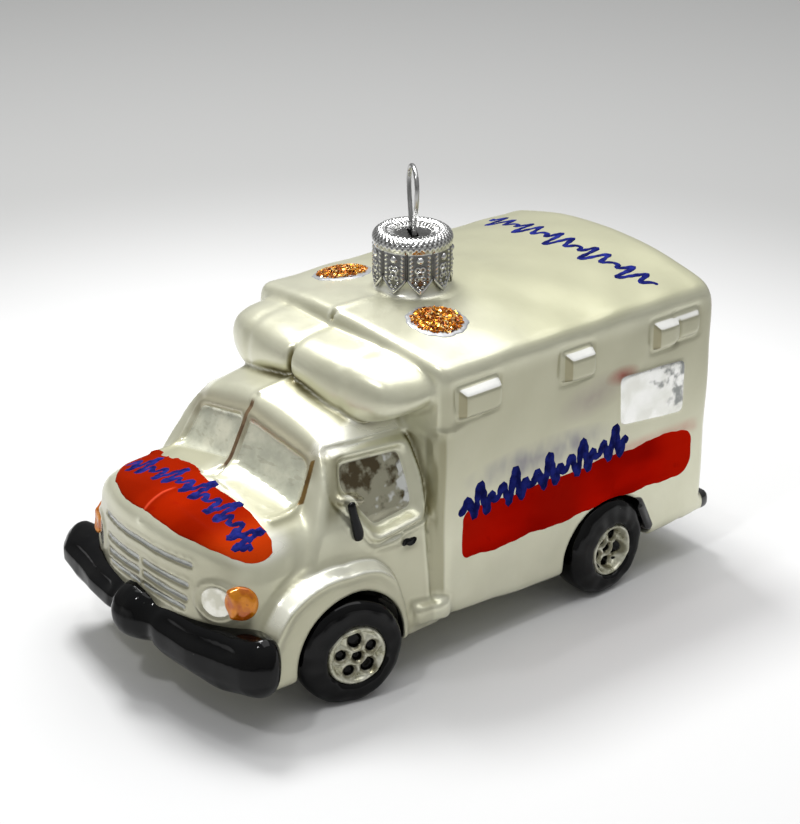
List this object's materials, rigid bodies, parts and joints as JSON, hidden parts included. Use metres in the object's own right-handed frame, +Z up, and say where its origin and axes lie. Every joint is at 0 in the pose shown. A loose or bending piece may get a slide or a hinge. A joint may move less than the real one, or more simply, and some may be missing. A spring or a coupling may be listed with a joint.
{
  "type": "glass ambulance ornament",
  "caption": "Hanging tree ornament: a hollow blown-glass box ambulance with a stamped metal crown cap and a spring-wire hanger loop.",
  "frame": {"origin": "centre of the bounding box's underside, on the floor the ornament's moulded wheels stand on", "axes": "+Z up, the ambulance's front faces -Y, its left side faces +X"},
  "size_m": [0.0588, 0.1099, 0.0784],
  "materials": {
    "lacquered_glass": "pearl lacquer over silvered glass, hand painted",
    "glitter": "amber glitter in varnish",
    "cap_metal": "bright stamped sheet",
    "wire": "drawn spring wire"
  },
  "bodies": {
    "ornament": {"glass_body": "lacquered_glass", "roof_light_left": "glitter", "roof_light_right": "glitter"},
    "cap_body": {"cap": "cap_metal"},
    "hanger": {"hanger_wire": "wire"}
  },
  "joints": [
    {"name": "cap_lift", "type": "slide", "parent": "ornament", "child": "cap_body", "axis": [0, 0, 1], "range_m": [0, 0.021]},
    {"name": "hanger_slide", "type": "slide", "parent": "cap_body", "child": "hanger", "axis": [0, 0, 1], "range_m": [0, 0.0025]}
  ]
}
